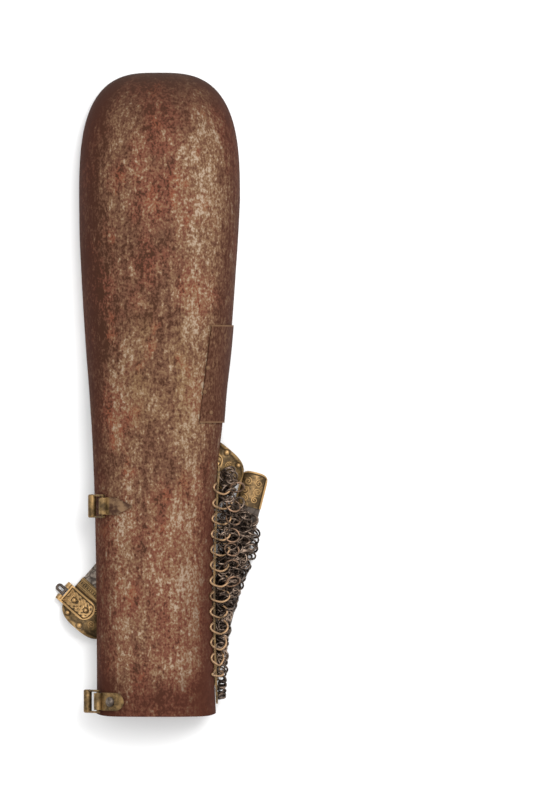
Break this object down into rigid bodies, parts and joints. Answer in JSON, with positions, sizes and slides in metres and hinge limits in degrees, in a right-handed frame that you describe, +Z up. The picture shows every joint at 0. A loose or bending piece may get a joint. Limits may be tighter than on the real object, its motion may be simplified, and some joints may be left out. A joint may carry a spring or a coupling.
{
  "type": "vambrace (the left one of a loose pair)",
  "caption": "Iron forearm vambrace, domed at the elbow, with strap buckles on one edge, mail on the other and a clasped wrist plate tucked beneath.",
  "frame": {"origin": "middle of the footprint, on the surface it lies on", "axes": "+Y along the forearm towards the elbow, +Z up out of the convex side, +X towards the ringed edge"},
  "size_m": [0.1246, 0.376, 0.048],
  "materials": {
    "iron": "rust-brown, worn to grey",
    "steel": "dull, aged",
    "brass": "aged",
    "gilt": "worn gilding",
    "mail_iron": "dark brown, worn bright on top"
  },
  "bodies": {
    "vambrace": {"forearm_plate": "iron", "repair_patch": "iron", "upper_strap_leaf": "iron", "lower_strap_tab": "brass", "lower_tab_rivet": "steel", "edge_strip": "brass", "mail": "mail_iron", "wrist_plate": "steel", "wrist_mount_high": "brass", "wrist_mount_low": "brass", "clasp_high": "gilt", "clasp_low": "gilt", "side_plate": "steel", "side_mount_high": "gilt", "side_mount_low": "gilt"},
    "upper_buckle_frame": {"upper_buckle_frame": "brass"},
    "lower_buckle_frame": {"lower_buckle_frame": "brass"},
    "clasp_loop_high": {"clasp_loop_high": "brass"},
    "clasp_loop_low": {"clasp_loop_low": "brass"}
  },
  "joints": [
    {"name": "upper_buckle_swing", "type": "hinge", "parent": "vambrace", "child": "upper_buckle_frame", "pos_m": [-0.03337, -0.0655, 0.03335], "axis": [0, 1, 0], "range_deg": [-4, 150]},
    {"name": "lower_buckle_swing", "type": "hinge", "parent": "vambrace", "child": "lower_buckle_frame", "pos_m": [-0.0363, -0.1794, 0.0282], "axis": [0, 1, 0], "range_deg": [-16, 140]},
    {"name": "high_loop_swing", "type": "hinge", "parent": "vambrace", "child": "clasp_loop_high", "pos_m": [0.0185, -0.02915, 0.0029], "axis": [0.6534, 0.757, 0], "range_deg": [-60, 85]},
    {"name": "low_loop_swing", "type": "hinge", "parent": "vambrace", "child": "clasp_loop_low", "pos_m": [-0.05626, -0.11575, 0.0029], "axis": [0.6534, 0.757, 0], "range_deg": [-60, 85]}
  ]
}
